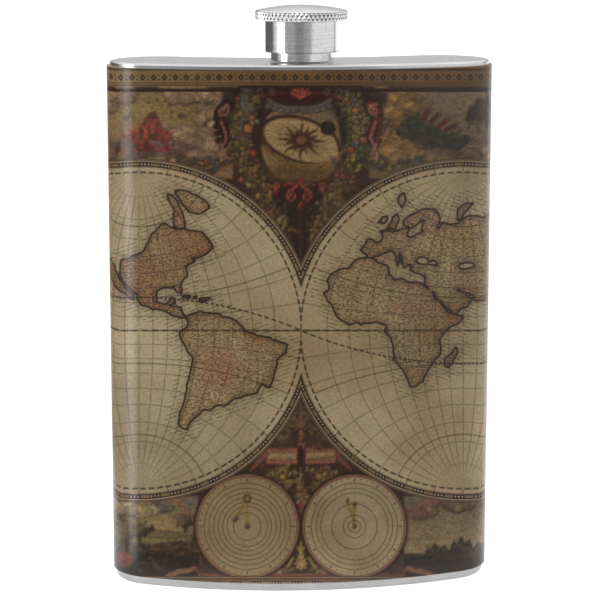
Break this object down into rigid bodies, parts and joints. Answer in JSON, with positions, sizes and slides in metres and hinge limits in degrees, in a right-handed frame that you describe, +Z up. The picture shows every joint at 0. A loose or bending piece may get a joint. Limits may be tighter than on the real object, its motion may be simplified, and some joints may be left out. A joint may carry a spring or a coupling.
{
  "type": "hip flask",
  "caption": "Curved steel hip flask with a satin top, a printed wrap round its body, a short threaded neck and a knurled screw cap.",
  "frame": {"origin": "on the surface the flask stands on, at the middle of its bounding box", "axes": "+Z up towards the cap, the convex printed front faces -Y, the concave back faces +Y, +X to the right when looking at the front"},
  "size_m": [0.093, 0.0316, 0.1412],
  "materials": {
    "sheet_steel": "drawn stainless sheet",
    "satin_plate": "fine satin, polished at the edge",
    "weld_metal": "ground weld",
    "turned_steel": "bright turned steel, knurled head",
    "printed_wrap": "satin leatherette, printed with an old double-hemisphere chart",
    "adhesive_film": "translucent adhesive film",
    "cap_liner": "moulded black liner",
    "gasket_rubber": "soft silicone disc"
  },
  "bodies": {
    "flask": {"body_shell": "sheet_steel", "back_seam_weld": "weld_metal", "top_plate": "satin_plate", "top_seam_weld": "weld_metal", "base_plate": "satin_plate", "base_seam_weld": "weld_metal", "neck": "turned_steel", "neck_weld": "weld_metal", "wrap": "printed_wrap", "wrap_adhesive": "adhesive_film"},
    "gasket": {"cap_gasket": "gasket_rubber"},
    "cap": {"cap_shell": "turned_steel", "cap_insert": "cap_liner"}
  },
  "joints": [
    {"name": "cap_lift", "type": "slide", "parent": "flask", "child": "gasket", "axis": [0, 0, 1], "range_m": [0, 0.009]},
    {"name": "cap_turn", "type": "hinge", "parent": "gasket", "child": "cap", "pos_m": [0, -0.00332, 0], "axis": [0, 0, 1], "range_deg": [0, 2160]}
  ],
  "couplings": [
    {"joint": "cap_lift", "follows": "cap_turn", "m_per_rad": 0.00023873}
  ]
}
